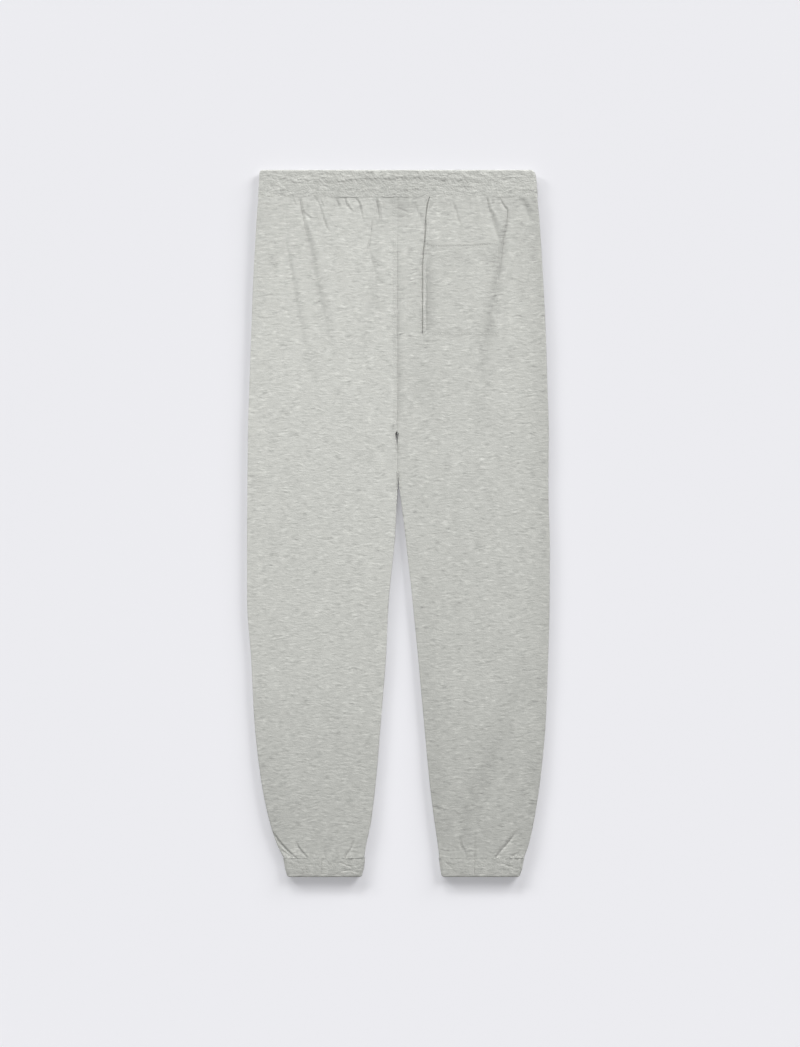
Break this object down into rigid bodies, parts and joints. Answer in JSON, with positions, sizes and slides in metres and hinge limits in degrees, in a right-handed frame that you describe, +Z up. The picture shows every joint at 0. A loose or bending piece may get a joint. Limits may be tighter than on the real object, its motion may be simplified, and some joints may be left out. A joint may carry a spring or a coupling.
{
  "type": "jogger sweatpants",
  "caption": "Jogger sweatpants laid flat, back up: gathered elastic waistband, tapered legs with gathered cuffs, and a patch pocket on one side.",
  "frame": {"origin": "middle of the laid garment's outline box, on the surface that it lies on", "axes": "+Y from the cuffs to the waistband, +X towards the leg whose back has the patch pocket, +Z up from the surface"},
  "size_m": [0.4368, 1.02, 0.012],
  "materials": {
    "fleece_front": "matt heathered loopback fleece",
    "fleece_back": "matt heathered loopback fleece",
    "fleece_pocket": "matt heathered loopback fleece",
    "fleece_waistband": "matt heathered loopback fleece, gathered over elastic",
    "fleece_cuff": "matt heathered loopback fleece, gathered over elastic"
  },
  "bodies": {
    "root": {"front_left": "fleece_front", "front_right": "fleece_front", "back_left": "fleece_back", "back_right": "fleece_back", "back_pocket": "fleece_pocket", "waistband": "fleece_waistband", "cuff_left": "fleece_cuff", "cuff_right": "fleece_cuff"}
  },
  "joints": []
}
